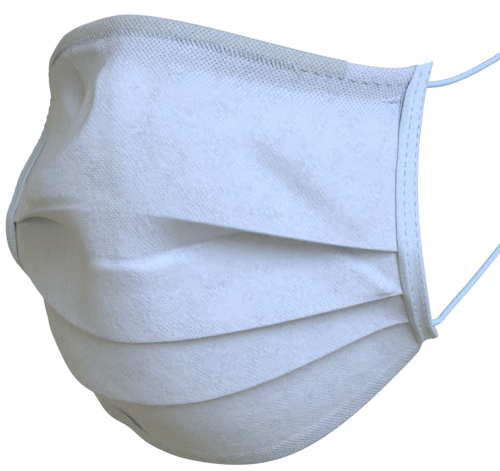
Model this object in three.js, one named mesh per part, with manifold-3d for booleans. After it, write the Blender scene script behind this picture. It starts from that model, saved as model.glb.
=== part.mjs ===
// Pleated cloth face mask with ear loops, in the form it takes when it is worn.
// Millimetres, +Z up. The mask faces -Y and +X is the wearer's left.
// The origin is the seat on the bridge of the nose, in the inner layer of the top hem.

import * as THREE from "three";
import { mergeVertices } from "three/addons/utils/BufferGeometryUtils.js";
import Module from "manifold-3d";

// ---- driving dimensions ----

const CLOTH = 1.0; // thickness of the layered cloth
const GAP = 0.3; // clearance between pieces that touch on the real mask
const FOLD_RADIUS = 0.8; // of the middle of the cloth in a closed fold
const TOP_HEM = { width: 7, radius: 1.3 }; // holds the nose wire between its layers
const BOTTOM_HEM = { width: 6, radius: 0.8, curl_ridge_deg: 5, curl_side_deg: 26 };
const BINDING = { width: 7, tape: 1.0, above_edge: 2.2, below_edge: 1.5 };
const NOSE_WIRE = { length: 122, width: 2.8, thickness: 0.8, below_edge: 0.3, steps: 18 };
const ELASTIC = { diameter: 1.8, sides: 8, step: 5.2 };

// Edges that run across the mask, from the centre line to the inner edge of the binding.
// ridge_*: place on the centre line. side_*: place at the binding, on the wearer's left.
// round: how far the edge runs straight across the nose or chin before it turns back.
// reach, flare_deg, rise: length and direction of its last stretch, at the binding.
// lean_*_deg: how far the cloth there slants inwards as it goes down.
const EDGES = [
  {
    name: "top", ridge_y: -2, ridge_z: 2, round: 21,
    side_x: 59.5, side_y: 48, side_z: -13, reach: 19, flare_deg: 66, rise: 0.15,
    lean_ridge_deg: -12, lean_side_deg: -16,
  },
  {
    name: "pleat_1", ridge_y: -13, ridge_z: -45.5, round: 30,
    side_x: 63, side_y: 30, side_z: -57.5, reach: 27, flare_deg: 42, rise: -0.1,
    lean_ridge_deg: 0, lean_side_deg: -10,
  },
  {
    name: "pleat_2", ridge_y: -6, ridge_z: -81.5, round: 23,
    side_x: 63, side_y: 34, side_z: -69.5, reach: 8, flare_deg: 42, rise: 0.1,
    lean_ridge_deg: 15, lean_side_deg: 15,
  },
  {
    name: "pleat_3", ridge_y: 4, ridge_z: -100.5, round: 32,
    side_x: 61.5, side_y: 43, side_z: -79, reach: 13, flare_deg: 50, rise: -0.1,
    lean_ridge_deg: 35, lean_side_deg: 35,
  },
  {
    name: "bottom", ridge_y: 30, ridge_z: -122, round: 26,
    side_x: 57, side_y: 56, side_z: -90, reach: 40, flare_deg: 44, rise: 0.95,
    lean_ridge_deg: 65, lean_side_deg: 55,
  },
];

// How far each pleat is turned, where 0 is flat open and 180 is shut, how deep it is, and how far
// from the centre line, as a part of the half width, it stays much as it is there.
const PLEATS = [
  { edge: "pleat_1", centre_deg: 8, side_deg: 173, centre_depth: 12, side_depth: 12, open: 0.25 },
  { edge: "pleat_2", centre_deg: 168, side_deg: 173, centre_depth: 6, side_depth: 12, open: 0.5 },
  { edge: "pleat_3", centre_deg: 165, side_deg: 173, centre_depth: 6, side_depth: 12, open: 0.5 },
];

// Stretches of cloth that end at an edge, each with how far its middle swells outwards, how deep
// it is dented beside the binding, and how far it is drawn in towards the centre line there.
const PANELS = [
  { to: "pleat_1", swell_ridge: 2.0, swell_side: 0.5, dent: 0, drawn_in: 2.8, steps: 7 },
  { to: "pleat_2", swell_ridge: 1.5, swell_side: 0.0, dent: 2.5, drawn_in: 0, steps: 4 },
  { to: "pleat_3", swell_ridge: 1.5, swell_side: 0.3, dent: 0.5, drawn_in: 0, steps: 4 },
  { to: "bottom", swell_ridge: 2.0, swell_side: 2.5, dent: 0, drawn_in: 0, steps: 5 },
];
const DENT = { middle: 0.8, spread: 0.13 }; // as parts of the half width

// Hollows of the top panel. across is from the centre line along the cloth, + on the wearer's
// left, below is from the top edge, slant_deg turns the long way down towards +, depth is inwards.
const HOLLOWS = [
  { name: "under_hem_left", across: 50, below: 9, length: 25, height: 4, slant_deg: -3, depth: 2.5 },
  { name: "under_hem_right", across: -45, below: 9, length: 24, height: 4, slant_deg: 0, depth: 1 },
  { name: "beside_nose_left", across: 34, below: 26, length: 24, height: 8, slant_deg: 28, depth: 1 },
  { name: "beside_nose_right", across: -30, below: 17, length: 24, height: 9, slant_deg: -20, depth: 6 },
  { name: "cheek_right", across: -80, below: 18, length: 25, height: 14, slant_deg: 0, depth: 5 },
];

// Pressed ends of the pleats, from the full stack to the flat edge that the binding clasps. away is
// from the inner edge of the binding, front and back are from the outside of the cloth.
const PRESSED_EDGE = [
  { away: -7, front: -5.4, back: -6.6 },
  { away: -1, front: 0.2, back: -0.6 },
  { away: 2.6, front: 0.4, back: -0.4 },
  { away: 5.4, front: 0.4, back: -0.4 },
];

const PRESSED_ENDS = { top: 0.012, foot: 0.985 }; // as parts of the way down the binding

// How far the foot of the binding turns up along the bottom edge, as a part of the whole turn.
const FOOT_TURN = 0.6;

// What is cut away beyond the binding's inner edge: how far out and how far past its ends it
// reaches, and its layers, each by its distance from the outside of the cloth.
const OFFCUT = { away: 10, past_ends: 6, depths: [-9, -2, 2, 5], steps: 23 };

// Route of the left ear loop, from the top of the binding, over and behind the ear, to its foot.
const EAR_LOOP_ROUTE = [
  [62.9, 53.3, -15.1], [65, 57.2, -14.7], [67, 61.8, -13.7], [69, 68, -12], [71, 75, -9.8],
  [73, 82, -7.3], [75, 90, -4.7], [77, 98, -2.4], [79, 107, -1.2], [80.4, 115, -2.6],
  [81.2, 121, -7.5], [81.6, 124.2, -15], [81.7, 124.6, -24], [81.4, 122, -33], [80.6, 116.5, -41],
  [79.4, 109.5, -47.5], [77.4, 100, -53.5], [75.2, 91, -58.6], [73, 82.5, -63.6], [71, 75, -68.4],
  [69.2, 68.2, -72.6], [67.8, 62, -75.8], [67, 56.2, -78.3], [66.4, 50.6, -80.1],
];

const BODY_REACH = 1.04; // the cloth is laid out this far across and then cut along the binding

// ---- how finely each piece is divided ----

const STATIONS = 20; // across the whole mask
const FOLD_STEPS = 3;
const FLAP_STEPS = 1;
const HEM_STEPS = 2;
const BINDING_STEPS = 18;

// Where each panel starts and ends among the points of a section.
const PANEL_STARTS = [];
const PANEL_ENDS = [];
PANELS.forEach((panel, i) => {
  const pleat = 2 * FOLD_STEPS + FLAP_STEPS;
  PANEL_STARTS.push(i === 0 ? HEM_STEPS + FOLD_STEPS : PANEL_ENDS[i - 1] + pleat);
  PANEL_ENDS.push(PANEL_STARTS[i] + panel.steps);
});

const COLOURS = {
  cloth: { color: 0xdfe4ee, roughness: 0.95, metalness: 0 },
  tape: { color: 0xdbe4ef, roughness: 0.9, metalness: 0 },
  elastic: { color: 0xd3eaf0, roughness: 0.8, metalness: 0 },
  wire: { color: 0xb9c2bd, roughness: 0.5, metalness: 0 },
};

// ---- small helpers ----

const radians = THREE.MathUtils.degToRad;
const lerp = THREE.MathUtils.lerp;
const byName = (rows, name) => rows.find((row) => row.name === name);

function mirrored(point) {
  return new THREE.Vector3(-point.x, point.y, point.z);
}

// ---- the edges of the mask ----

function edgeCurve(row) {
  const flare = radians(row.flare_deg);
  const arrival = new THREE.Vector3(Math.cos(flare), Math.sin(flare), row.rise).normalize();
  const ridge = new THREE.Vector3(0, row.ridge_y, row.ridge_z);
  const side = new THREE.Vector3(row.side_x, row.side_y, row.side_z);
  return new THREE.CubicBezierCurve3(
    ridge,
    ridge.clone().add(new THREE.Vector3(row.round, 0, 0)),
    side.clone().addScaledVector(arrival, -row.reach),
    side,
  );
}

const CURVES = Object.fromEntries(EDGES.map((row) => [row.name, edgeCurve(row)]));

// Place on an edge, with the cloth's own downward and inward directions there. across is 0 on the
// centre line and 1 at the binding; past the binding the edge runs straight on.
function edgeFrame(name, across) {
  const row = byName(EDGES, name);
  const inside = Math.min(across, 1);
  const along = CURVES[name].getTangentAt(inside);
  const beyond = (across - inside) * CURVES[name].getLength();
  const point = CURVES[name].getPointAt(inside).addScaledVector(along, beyond);
  const level = new THREE.Vector3(-along.y, along.x, 0).normalize();
  const fall = level.clone().cross(along).normalize();
  const lean = radians(lerp(row.lean_ridge_deg, row.lean_side_deg, across));
  const down = fall.clone().multiplyScalar(Math.cos(lean)).addScaledVector(level, Math.sin(lean));
  const inward = level.clone().multiplyScalar(Math.cos(lean)).addScaledVector(fall, -Math.sin(lean));
  return { point, along, down, inward };
}

function heading(frame, angle) {
  return frame.down.clone().multiplyScalar(Math.cos(angle)).addScaledVector(frame.inward, Math.sin(angle));
}

function headingOf(frame, direction) {
  return Math.atan2(direction.dot(frame.inward), direction.dot(frame.down));
}

// ---- one vertical section of the cloth, from the inside of the top hem to that of the bottom ----

// Walks on from the last point of a path, turning evenly from one heading to another.
function turn(path, frame, from, to, length, steps) {
  const stride = length / steps;
  for (let i = 0; i < steps; i += 1) {
    const angle = lerp(from, to, (i + 0.5) / steps);
    path.push(path[path.length - 1].clone().addScaledVector(heading(frame, angle), stride));
  }
}

function panelCurve(start, end, middleShift) {
  const chord = end.clone().sub(start);
  const lift = middleShift.clone().multiplyScalar(4 / 3);
  return new THREE.CubicBezierCurve3(
    start,
    start.clone().addScaledVector(chord, 1 / 3).add(lift),
    start.clone().addScaledVector(chord, 2 / 3).add(lift),
    end,
  );
}

function middleShift(panel, frame, across) {
  const dent = panel.dent * Math.exp(-(((across - DENT.middle) / DENT.spread) ** 2));
  const swell = lerp(panel.swell_ridge, panel.swell_side, across) - dent;
  return frame.inward
    .clone()
    .multiplyScalar(-swell)
    .addScaledVector(frame.along, -panel.drawn_in * across ** 3);
}

function addPanel(path, panel, across) {
  const frame = edgeFrame(panel.to, across);
  const start = path[path.length - 1].clone();
  const curve = panelCurve(start, frame.point, middleShift(panel, frame, across));
  for (let i = 1; i <= panel.steps; i += 1) {
    path.push(curve.getPoint(i / panel.steps));
  }
  return headingOf(frame, curve.getTangent(1));
}

// A knife pleat: the cloth turns inwards at its lower edge, runs back, and turns down again.
function addPleat(path, pleat, arriving, next, across) {
  const frame = edgeFrame(pleat.edge, across);
  const shutting = across * THREE.MathUtils.smoothstep(across, 0, pleat.open);
  const shut = lerp(radians(pleat.centre_deg), radians(pleat.side_deg), shutting);
  const depth = lerp(pleat.centre_depth, pleat.side_depth, shutting);
  const back = arriving + shut;
  const fold = Math.PI * FOLD_RADIUS;
  turn(path, frame, arriving, back, fold, FOLD_STEPS);
  turn(path, frame, back, back, depth - fold, FLAP_STEPS);
  const chord = edgeFrame(next, across).point.sub(path[path.length - 1]);
  turn(path, frame, back, headingOf(frame, chord), fold, FOLD_STEPS);
}

function wholePath(across) {
  const top = edgeFrame("top", across);
  const hemFoot = top.point
    .clone()
    .addScaledVector(top.inward, 2 * TOP_HEM.radius)
    .addScaledVector(top.down, TOP_HEM.width);
  const path = [hemFoot];
  turn(path, top, Math.PI, Math.PI, TOP_HEM.width, HEM_STEPS);
  turn(path, top, Math.PI, 2 * Math.PI, Math.PI * TOP_HEM.radius, FOLD_STEPS);
  let arriving = addPanel(path, PANELS[0], across);
  PLEATS.forEach((pleat, i) => {
    addPleat(path, pleat, arriving, PANELS[i + 1].to, across);
    arriving = addPanel(path, PANELS[i + 1], across);
  });
  const bottom = edgeFrame("bottom", across);
  const folded = arriving + Math.PI;
  turn(path, bottom, arriving, folded, Math.PI * BOTTOM_HEM.radius, FOLD_STEPS);
  const curl = lerp(radians(BOTTOM_HEM.curl_ridge_deg), radians(BOTTOM_HEM.curl_side_deg), across);
  turn(path, bottom, folded, folded - curl, BOTTOM_HEM.width, HEM_STEPS);
  return path;
}

// Inward push of the top panel and its hem at a place on the cloth.
function hollowDepth(acrossMm, belowMm) {
  return HOLLOWS.reduce((sum, row) => {
    const slant = radians(row.slant_deg);
    const a = acrossMm - row.across;
    const b = belowMm - row.below;
    const longWay = (a * Math.cos(slant) + b * Math.sin(slant)) / row.length;
    const shortWay = (b * Math.cos(slant) - a * Math.sin(slant)) / row.height;
    return sum + row.depth * Math.exp(-(longWay ** 2 + shortWay ** 2));
  }, 0);
}

// The section at a place across the mask, from -1 on the wearer's right to 1 on the left.
function section(signed) {
  const frame = edgeFrame("top", Math.abs(signed));
  const halfWidth = CURVES.top.getLength();
  const pushed = wholePath(Math.abs(signed)).map((point, j) => {
    if (j > PANEL_ENDS[0]) return point;
    const below = Math.max(0, frame.point.z - point.z);
    return point.clone().addScaledVector(frame.inward, hollowDepth(signed * halfWidth, below));
  });
  return signed < 0 ? pushed.map(mirrored) : pushed;
}

// ---- turning a box into bent cloth ----

// Moves every corner of a finely divided unit box to place(x, y, z), each from 0 to 1.
function bend(steps, place) {
  const box = new THREE.BoxGeometry(1, 1, 1, ...steps);
  const corners = box.getAttribute("position");
  for (let i = 0; i < corners.count; i += 1) {
    const spot = place(corners.getX(i) + 0.5, corners.getY(i) + 0.5, corners.getZ(i) + 0.5);
    corners.setXYZ(i, spot.x, spot.y, spot.z);
  }
  return closedSurface(box);
}

// One closed surface with shared corners, its faces turned outwards.
function closedSurface(geometry) {
  geometry.deleteAttribute("normal");
  geometry.deleteAttribute("uv");
  const closed = mergeVertices(geometry, 1e-4);
  if (signedVolume(closed) < 0) turnOver(closed.getIndex());
  closed.computeVertexNormals();
  return closed;
}

function signedVolume(geometry) {
  const corners = geometry.getAttribute("position");
  const index = geometry.getIndex();
  const at = (k) => new THREE.Vector3().fromBufferAttribute(corners, index.getX(k));
  let volume = 0;
  for (let k = 0; k < index.count; k += 3) {
    volume += at(k).dot(at(k + 1).cross(at(k + 2))) / 6;
  }
  return volume;
}

function turnOver(index) {
  for (let k = 0; k < index.count; k += 3) {
    const first = index.getX(k);
    index.setX(k, index.getX(k + 1));
    index.setX(k + 1, first);
  }
}

function unitStep(from, to) {
  return to.clone().sub(from).normalize();
}

// A sheet with a wall: rows[i][j] is its middle, i across and j from the top down.
function sheet(rows, thickness) {
  const lastRow = rows.length - 1;
  const lastPoint = rows[0].length - 1;
  const normalAt = (i, j) => {
    const sideways = rows[Math.min(i + 1, lastRow)][j].clone().sub(rows[Math.max(i - 1, 0)][j]);
    const up = new THREE.Vector3();
    if (j > 0) up.add(unitStep(rows[i][j], rows[i][j - 1]));
    if (j < lastPoint) up.add(unitStep(rows[i][j + 1], rows[i][j]));
    return sideways.cross(up).normalize();
  };
  return bend([lastRow, lastPoint, 1], (x, y, z) => {
    const i = Math.round(x * lastRow);
    const j = Math.round((1 - y) * lastPoint);
    return rows[i][j].clone().addScaledVector(normalAt(i, j), (z - 0.5) * thickness);
  });
}

// ---- the pieces ----

function bodyRows() {
  const rows = [];
  for (let i = 0; i <= STATIONS; i += 1) {
    rows.push(section(BODY_REACH * ((2 * i) / STATIONS - 1)));
  }
  return rows;
}

// The line that a binding follows, on the outside of the cloth, and its direction away from it.
function bindingLine(side) {
  const path = section(side);
  const topPanel = path.slice(PANEL_STARTS[0], PANEL_ENDS[0]);
  const lastPanel = path.slice(PANEL_ENDS.at(-1) - 1);
  const folds = PANEL_ENDS.slice(0, -1).map((j) => path[j]);
  const spots = [...topPanel, ...folds, lastPanel[0], lastPanel[1]];
  const wayAt = (name) => {
    const way = edgeFrame(name, 1).along;
    return side < 0 ? mirrored(way) : way;
  };
  const ways = topPanel.map((_, k) => wayAt("top").lerp(wayAt("pleat_1"), k / topPanel.length));
  ways.push(wayAt("pleat_1"), wayAt("pleat_2"), wayAt("pleat_3"));
  ways.push(wayAt("pleat_3").lerp(wayAt("bottom"), FOOT_TURN / 2));
  ways.push(wayAt("pleat_3").lerp(wayAt("bottom"), FOOT_TURN));
  return { side, line: new THREE.CatmullRomCurve3(spots), ways: new THREE.CatmullRomCurve3(ways) };
}

// down is 0 at the top edge and 1 at the bottom edge, and may reach a little past both.
function bindingFrame(path, down) {
  const u = THREE.MathUtils.clamp(down, 0, 1);
  const t = path.line.getUtoTmapping(u);
  const along = path.line.getTangent(t);
  const point = path.line.getPoint(t).addScaledVector(along, (down - u) * path.line.getLength());
  const away = path.ways.getPoint(t).normalize();
  const outward = along.clone().cross(away).normalize().multiplyScalar(path.side);
  return { point, away, outward };
}

// Pleat ends and side edges pressed together, down the whole binding.
function seamGeometry(path) {
  const last = PRESSED_EDGE.length - 1;
  return bend([last, BINDING_STEPS, 1], (x, y, z) => {
    const frame = bindingFrame(path, lerp(PRESSED_ENDS.top, PRESSED_ENDS.foot, 1 - y));
    const row = PRESSED_EDGE[Math.round(x * last)];
    return frame.point
      .addScaledVector(frame.away, row.away)
      .addScaledVector(frame.outward, lerp(row.back, row.front, z));
  });
}

// Stations down a binding, the first and the last of them past the ends of its line.
function stationDown(k, last, above, below) {
  if (k === 0) return -above;
  if (k === last) return 1 + below;
  return (k - 1) / (last - 2);
}

// Everything on the far side of the line that the cloth is cut along.
function offcutGeometry(path) {
  const layers = OFFCUT.depths.length - 1;
  const beyond = OFFCUT.past_ends / path.line.getLength();
  return bend([1, OFFCUT.steps, layers], (x, y, z) => {
    const down = stationDown(Math.round((1 - y) * OFFCUT.steps), OFFCUT.steps, beyond, beyond);
    const frame = bindingFrame(path, down);
    return frame.point
      .addScaledVector(frame.away, x * OFFCUT.away)
      .addScaledVector(frame.outward, OFFCUT.depths[Math.round(z * layers)]);
  });
}

// Tape folded lengthwise round the pressed edge, a little longer than it at both ends.
function tapeGeometry(path) {
  const radius = CLOTH / 2 + GAP + BINDING.tape / 2;
  const straight = BINDING.width - BINDING.tape / 2 - radius;
  const flatSteps = 2;
  const turnSteps = 4;
  const steps = 2 * flatSteps + turnSteps;
  const spotAcross = (k) => {
    if (k <= flatSteps) return { out: radius, away: (straight * k) / flatSteps, angle: 0 };
    if (k >= flatSteps + turnSteps) {
      return { out: -radius, away: (straight * (steps - k)) / flatSteps, angle: Math.PI };
    }
    const angle = (Math.PI * (k - flatSteps)) / turnSteps;
    return { out: radius * Math.cos(angle), away: straight + radius * Math.sin(angle), angle };
  };
  const above = BINDING.above_edge / path.line.getLength();
  const below = BINDING.below_edge / path.line.getLength();
  const last = BINDING_STEPS + 2;
  return bend([steps, last, 1], (x, y, z) => {
    const down = stationDown(Math.round((1 - y) * last), last, above, below);
    const frame = bindingFrame(path, down);
    const spot = spotAcross(Math.round(x * steps));
    const shift = (z - 0.5) * BINDING.tape;
    return frame.point
      .addScaledVector(frame.away, GAP + spot.away + shift * Math.sin(spot.angle))
      .addScaledVector(frame.outward, spot.out + shift * Math.cos(spot.angle));
  });
}

function wireGeometry() {
  const reach = NOSE_WIRE.length / 2 / CURVES.top.getLength();
  return bend([NOSE_WIRE.steps, 1, 1], (x, y, z) => {
    const signed = lerp(-reach, reach, x);
    const frame = edgeFrame("top", Math.abs(signed));
    const below = NOSE_WIRE.below_edge + (1 - y) * NOSE_WIRE.width;
    const depth = hollowDepth(signed * CURVES.top.getLength(), below);
    const spot = frame.point
      .clone()
      .addScaledVector(frame.inward, TOP_HEM.radius + depth - (z - 0.5) * NOSE_WIRE.thickness)
      .addScaledVector(frame.down, below);
    return signed < 0 ? mirrored(spot) : spot;
  });
}

function earLoopGeometry(side) {
  const points = EAR_LOOP_ROUTE.map(([x, y, z]) => new THREE.Vector3(side * x, y, z));
  const route = new THREE.CatmullRomCurve3(points, false, "centripetal");
  const round = new THREE.Shape();
  const radius = ELASTIC.diameter / 2;
  for (let i = 0; i < ELASTIC.sides; i += 1) {
    const angle = (2 * Math.PI * i) / ELASTIC.sides;
    const spot = [radius * Math.cos(angle), radius * Math.sin(angle)];
    if (i === 0) round.moveTo(...spot);
    else round.lineTo(...spot);
  }
  round.closePath();
  const steps = Math.round(route.getLength() / ELASTIC.step);
  const tube = new THREE.ExtrudeGeometry(round, { steps, extrudePath: route, bevelEnabled: false });
  return closedSurface(tube);
}

// ---- joining the pressed edges to the body ----

const wasm = await Module();
wasm.setup();

function solid(geometry) {
  return new wasm.Manifold(
    new wasm.Mesh({
      numProp: 3,
      vertProperties: new Float32Array(geometry.getAttribute("position").array),
      triVerts: new Uint32Array(geometry.getIndex().array),
    }),
  );
}

function geometryOf(manifold) {
  const mesh = manifold.getMesh();
  const geometry = new THREE.BufferGeometry();
  geometry.setAttribute("position", new THREE.BufferAttribute(new Float32Array(mesh.vertProperties), 3));
  geometry.setIndex(new THREE.BufferAttribute(new Uint32Array(mesh.triVerts), 1));
  geometry.computeVertexNormals();
  return geometry;
}

// ---- the mask ----

const group = new THREE.Group();

function addPiece(name, geometry, look) {
  const mesh = new THREE.Mesh(geometry, new THREE.MeshStandardMaterial(look));
  mesh.name = name;
  group.add(mesh);
}

const lines = { left: bindingLine(1), right: bindingLine(-1) };
const body = solid(sheet(bodyRows(), CLOTH))
  .subtract(solid(offcutGeometry(lines.left)))
  .subtract(solid(offcutGeometry(lines.right)))
  .add(solid(seamGeometry(lines.left)))
  .add(solid(seamGeometry(lines.right)));

addPiece("body_panel", geometryOf(body), COLOURS.cloth);
addPiece("nose_wire", wireGeometry(), COLOURS.wire);
addPiece("side_binding_left", tapeGeometry(lines.left), COLOURS.tape);
addPiece("side_binding_right", tapeGeometry(lines.right), COLOURS.tape);
addPiece("ear_loop_left", earLoopGeometry(1), COLOURS.elastic);
addPiece("ear_loop_right", earLoopGeometry(-1), COLOURS.elastic);

export default group;
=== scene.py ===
import math
import random
from collections import namedtuple

import bmesh
import bpy
import numpy as np
from bpy.props import FloatProperty, FloatVectorProperty, IntProperty, PointerProperty
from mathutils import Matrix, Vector, noise


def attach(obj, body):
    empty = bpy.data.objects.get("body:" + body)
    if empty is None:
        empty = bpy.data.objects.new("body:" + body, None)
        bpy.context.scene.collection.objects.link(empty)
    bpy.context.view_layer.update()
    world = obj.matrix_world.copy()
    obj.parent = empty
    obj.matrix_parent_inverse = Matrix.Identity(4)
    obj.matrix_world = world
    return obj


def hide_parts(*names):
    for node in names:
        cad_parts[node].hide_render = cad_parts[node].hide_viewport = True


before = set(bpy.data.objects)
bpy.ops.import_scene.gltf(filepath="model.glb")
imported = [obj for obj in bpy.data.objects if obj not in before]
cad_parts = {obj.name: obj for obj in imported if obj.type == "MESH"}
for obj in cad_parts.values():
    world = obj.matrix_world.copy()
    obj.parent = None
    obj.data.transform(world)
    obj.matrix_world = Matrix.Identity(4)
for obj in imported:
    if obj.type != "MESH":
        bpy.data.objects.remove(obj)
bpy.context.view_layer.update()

bl_info = {
    "name": "Pleated face mask",
    "version": (1, 0, 0),
    "blender": (4, 5, 0),
    "location": "View3D > Sidebar > Face mask",
    "description": "Builds a worn pleated cloth face mask around its packed frame",
    "category": "Object",
}

# Lengths are in millimetres until a piece's vertices are set. MM turns them into metres.
MM = 0.001
BODY = "root"
SIDES = (("left", 1), ("right", -1))

# ---------------------------------------------------------------- form of the cloth

# Edges that run across the mask, from the centre line to the inner edge of the binding.
# ridge: place on the centre line. side: place at the binding on the wearer's left.
# straight: how far the edge runs straight across the nose or chin before it turns back.
# reach, flare, rise: length and direction of its last stretch, at the binding.
# lean: how far the cloth there slants inwards as it goes down, at the ridge and at the side.
Edge = namedtuple("Edge", "ridge straight side reach flare rise lean")
EDGES = {
    "top": Edge((0, -2, 2.3), 21, (59.5, 48, -11.3), 19, 66, 0.15, (-12, -16)),
    "pleat_1": Edge((0, -13, -45.5), 30, (63, 30, -57.5), 27, 42, -0.1, (0, -10)),
    "pleat_2": Edge((0, -6, -81.5), 23, (63, 34, -69.5), 8, 42, 0.1, (15, 15)),
    "pleat_3": Edge((0, 4, -100.5), 32, (61.5, 43, -79), 13, 50, -0.1, (35, 35)),
    "bottom": Edge((0, 30, -123), 26, (57, 56, -92), 40, 44, 0.95, (65, 55)),
}

# turned: 0 is flat open and 180 is shut, on the centre line and at the side. depth: likewise.
# open: how far from the centre line the pleat stays as it is there, of the half width.
Pleat = namedtuple("Pleat", "edge turned depth open")
PLEATS = (
    Pleat("pleat_1", (8, 177), (12, 12), 0.25),
    Pleat("pleat_2", (177, 177), (6, 12), 0.5),
    Pleat("pleat_3", (177, 177), (6, 12), 0.5),
)

# to: the edge that the panel ends at. swell: how far its middle stands out at the ridge and at
# the side. drawn_in: how far its side is drawn towards the centre line. steps: rows of faces.
Panel = namedtuple("Panel", "to swell drawn_in steps")
PANELS = (
    Panel("pleat_1", (2.0, 0.5), 2.8, 60),
    Panel("pleat_2", (0.3, -0.6), 0, 28),
    Panel("pleat_3", (0.3, -0.4), 0, 26),
    Panel("bottom", (2.0, 2.5), 0, 34),
)

# Broad hollows of the top panel. across: along the cloth from the centre line, + on the wearer's
# left. below: from the top edge. length, height: reach the long and the short way. slant: of the
# long way, down to +. depth: how far in, or out where it is under 0.
Hollow = namedtuple("Hollow", "across below length height slant depth")
HOLLOWS = (
    Hollow(50, 9, 25, 4, -3, 1.0),
    Hollow(-45, 9, 24, 4, 0, 1.0),
    Hollow(34, 26, 24, 8, 28, 1.0),
    Hollow(-30, 17, 24, 9, -20, 6.0),
    Hollow(-80, 18, 25, 14, 0, 5.0),
    Hollow(-38, 30, 22, 9, -30, 3.5),
    Hollow(-27, 0, 11, 7, 0, -1.0),
)

# Places where all layers of the cloth lie elsewhere than their edges say. across, below: as in
# a hollow. length, height: reach along and across. move: how far, to the left, back and up.
Shift = namedtuple("Shift", "across below length height move")
SHIFTS = (
    Shift(-24, 112, 16, 14, (-1.6, -1.0, -1.6)),
    Shift(-15, 151, 14, 12, (2.3, 1.4, 2.3)),
    Shift(-30, 152, 14, 16, (2.2, 1.3, 2.2)),
    Shift(-50, 17, 14, 10, (1.9, 1.1, 0)),
    Shift(-58, 20, 12, 8, (0.8, 0.5, 0)),
    Shift(-82, 47, 14, 10, (1.1, 0.6, 0)),
    Shift(-28, 172, 9, 10, (0.7, 0.4, 2.2)),
)

# Small folds on top of that form. panel: 0 to 3, from the top down. line: the course of the fold,
# as places (across, below), where below is along the cloth from the start of the panel.
# out: how far it stands out, or goes in where it is under 0. above, below: how far it reaches
# on either side of its line. sharp: 1 for a crease, 0 for a soft fold. fade: share of the length
# over which it dies away at its start and its end.
Fold = namedtuple("Fold", "panel line out above below sharp fade")
FOLDS = (
    # the band under the hem: a step inwards and the soft hollow below it
    Fold(0, ((10, 10.2), (22, 9.8), (35, 9.2), (49, 8.8), (63, 8), (84, 8)),
         -3.0, 6, 14, 0.8, (0.3, 0)),
    Fold(0, ((9, 22.5), (23, 20.5), (36, 18.8), (50, 17.5)), -0.6, 4, 4, 0, (0.3, 0.3)),
    # the ridge of the nose
    Fold(0, ((-3, 4), (1, 15), (3, 26), (4, 47)), 0.6, 5, 2.5, 0, (0.2, 0.2)),
    # the pull of the lower corner of the left binding
    Fold(0, ((38, 22), (50, 29), (62, 36), (76, 44)), 1.5, 9, 4, 0, (0.3, 0.2)),
    Fold(0, ((30, 22), (44, 32.5), (52, 37), (63, 42)), -1.2, 4, 6, 0, (0.3, 0.3)),
    # the right side of the nose: a lip under the hem, a hollow and the edge of the bulge
    Fold(0, ((-6, 7), (-20, 5.5), (-28, 5.5), (-34, 6.5)), 0.8, 1.5, 1.2, 0, (0.2, 0.2)),
    Fold(0, ((-24, 12), (-30, 16), (-36, 22)), -3.0, 6, 9, 0, (0.3, 0.3)),
    Fold(0, ((-5, 9), (-3.5, 17), (-3, 24), (-5.5, 30), (-11, 35), (-17, 39.5), (-27, 44.3),
             (-44, 47.8)), 3.2, 4, 12, 1, (0.15, 0.2)),
    # the crease under the first pleat, and the corner beside the left binding
    Fold(1, ((-10, 3.5), (-2, 2.6), (14, 2.8), (30, 3.4)), 1.1, 1.3, 6, 1, (0.3, 0.3)),
    Fold(1, ((60, 6), (68.5, 14), (73.6, 18.8), (79.5, 24.5)), 1.7, 2.5, 9, 1, (0.3, 0.1)),
    # the right side of the third panel
    Fold(2, ((-62, 10), (-46, 12), (-28, 14)), 1.8, 9, 9, 0, (0.4, 0.4)),
    # creases under the chin
    Fold(3, ((-35, 27), (-11, 13.5), (-3, 14), (3, 14.5)), 0.6, 2, 5, 1, (0.1, 0.4)),
    Fold(3, ((-30, 32), (-8, 20), (3, 20)), 0.5, 2, 4, 1, (0.2, 0.4)),
    Fold(3, ((-46, 22), (-30, 27), (-14, 32)), -1.8, 9, 9, 0, (0.4, 0.4)),
)
CREST = 0.35  # radius of the top of a sharp crease

# Slow unevenness of the whole cloth: sizes of waves, each with its height.
WAVES = ((14.0, 0.26), (5.5, 0.13))

# The tapes press the layers flat: where that begins and is complete, as shares of the half
# width, how deep the pressed stack is, and how fast deeper layers are drawn together. margin: how
# far past the ends of a tape's line its places are taken.
PRESS = {"from": 0.84, "to": 1.0, "depth": 1.2, "scale": 1.8, "margin": 3}
TAPE_PLACES = 120  # places taken along a tape's line

THICKNESS = 0.42
FOLD_RADIUS = (0.3, 0.32)  # of the turns of a pleat, on the centre line and at the side
# Hems. radius: of the turn at the edge. stitch: the seam's place below the edge. closed: how far
# below the edge the two layers meet again. curl: how far the inner part turns away from the
# cloth, on the centre line and at the side. raised: how far the doubled cloth stands out.
TOP_HEM = {"width": 7.0, "radius": 1.3, "stitch": 3.3, "closed": 6.4}
BOTTOM_HEM = {"width": 6.0, "radius": 0.6, "curl": (5, 26), "raised": 0.3}
REACH = 1.03  # how far the cloth runs, with its part under the tapes, in half widths
# Faces of the cloth: columns across, and rows in the hems, in a turn and in a pleat's inner part.
COLUMNS = 226
HEM_STEPS = (5, 4)
TURN_STEPS = 6
FLAP_STEPS = 4

# Nose wire in the top hem. half: half its length. top, foot: how far below the top edge its
# channel begins and ends. raised: how far it lifts the cloth. grid: points along and across.
WIRE = {"half": 61.0, "top": 0.3, "foot": 3.1, "raised": 0.3, "thickness": 0.8, "grid": (123, 5)}

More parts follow.
